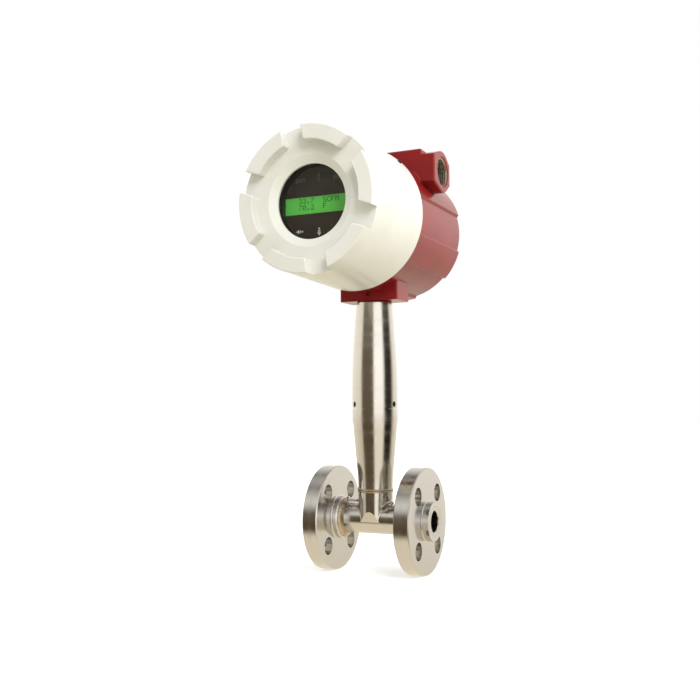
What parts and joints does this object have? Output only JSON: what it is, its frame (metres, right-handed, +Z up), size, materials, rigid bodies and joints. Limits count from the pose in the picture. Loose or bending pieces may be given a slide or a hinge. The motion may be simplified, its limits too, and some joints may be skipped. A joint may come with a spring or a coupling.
{
  "type": "vortex mass flow meter",
  "caption": "Inline vortex flow meter: flanged pipe with a tapered stem carrying a round electronics head with a window display and a side conduit entry.",
  "frame": {"origin": "centre of the inlet flange's raised face", "axes": "+X along the flow to the outlet, +Z up the stem to the head, display facing -Y"},
  "size_m": [0.1299, 0.2198, 0.3811],
  "materials": {
    "pipe_steel": "brushed",
    "turned_steel": "turned",
    "weld_steel": "cleaned weld",
    "stem_steel": "polished along its turning",
    "bright_steel": "bright",
    "sensor_steel": "machined",
    "black_steel": "black oxide",
    "screw_steel": "zinc plated",
    "plate_aluminium": "milled",
    "black_anodised": "black anodised",
    "standoff_brass": "turned",
    "red_coat": "satin powder coat",
    "white_coat": "gloss powder coat",
    "seal_rubber": "moulded",
    "window_glass": "clear",
    "panel_black": "printed film",
    "lcd": "backlit",
    "circuit_board": "solder mask",
    "terminal_plastic": "moulded",
    "cable_sheath": "sheath",
    "potting": "cast resin"
  },
  "bodies": {
    "root": {"flow_body": "pipe_steel", "inlet_flange": "turned_steel", "outlet_flange": "turned_steel", "inlet_weld": "weld_steel", "outlet_weld": "weld_steel", "neck_weld": "weld_steel", "shedder_bar": "sensor_steel", "vortex_sensor": "sensor_steel", "temperature_probe": "sensor_steel", "pressure_tap": "bright_steel", "port_plug": "bright_steel", "lower_stem": "stem_steel", "upper_stem": "stem_steel", "stem_set_screws": "black_steel", "stem_seal": "seal_rubber", "sensor_harness": "cable_sheath", "housing": "red_coat", "foot_set_screw": "red_coat", "feedthrough": "potting", "window_cover": "white_coat", "cover_lock_screw": "black_steel", "cover_seal": "seal_rubber", "window_glass": "window_glass", "window_gasket": "seal_rubber", "glass_ring": "black_anodised", "display_panel": "panel_black", "lcd_module": "lcd", "display_board": "circuit_board", "processor_board": "circuit_board", "power_board": "circuit_board", "chassis": "plate_aluminium", "board_standoffs": "standoff_brass", "terminal_block": "terminal_plastic", "terminal_screws": "screw_steel", "rear_cover": "white_coat", "rear_seal": "seal_rubber", "conduit_plug": "bright_steel"}
  },
  "joints": []
}
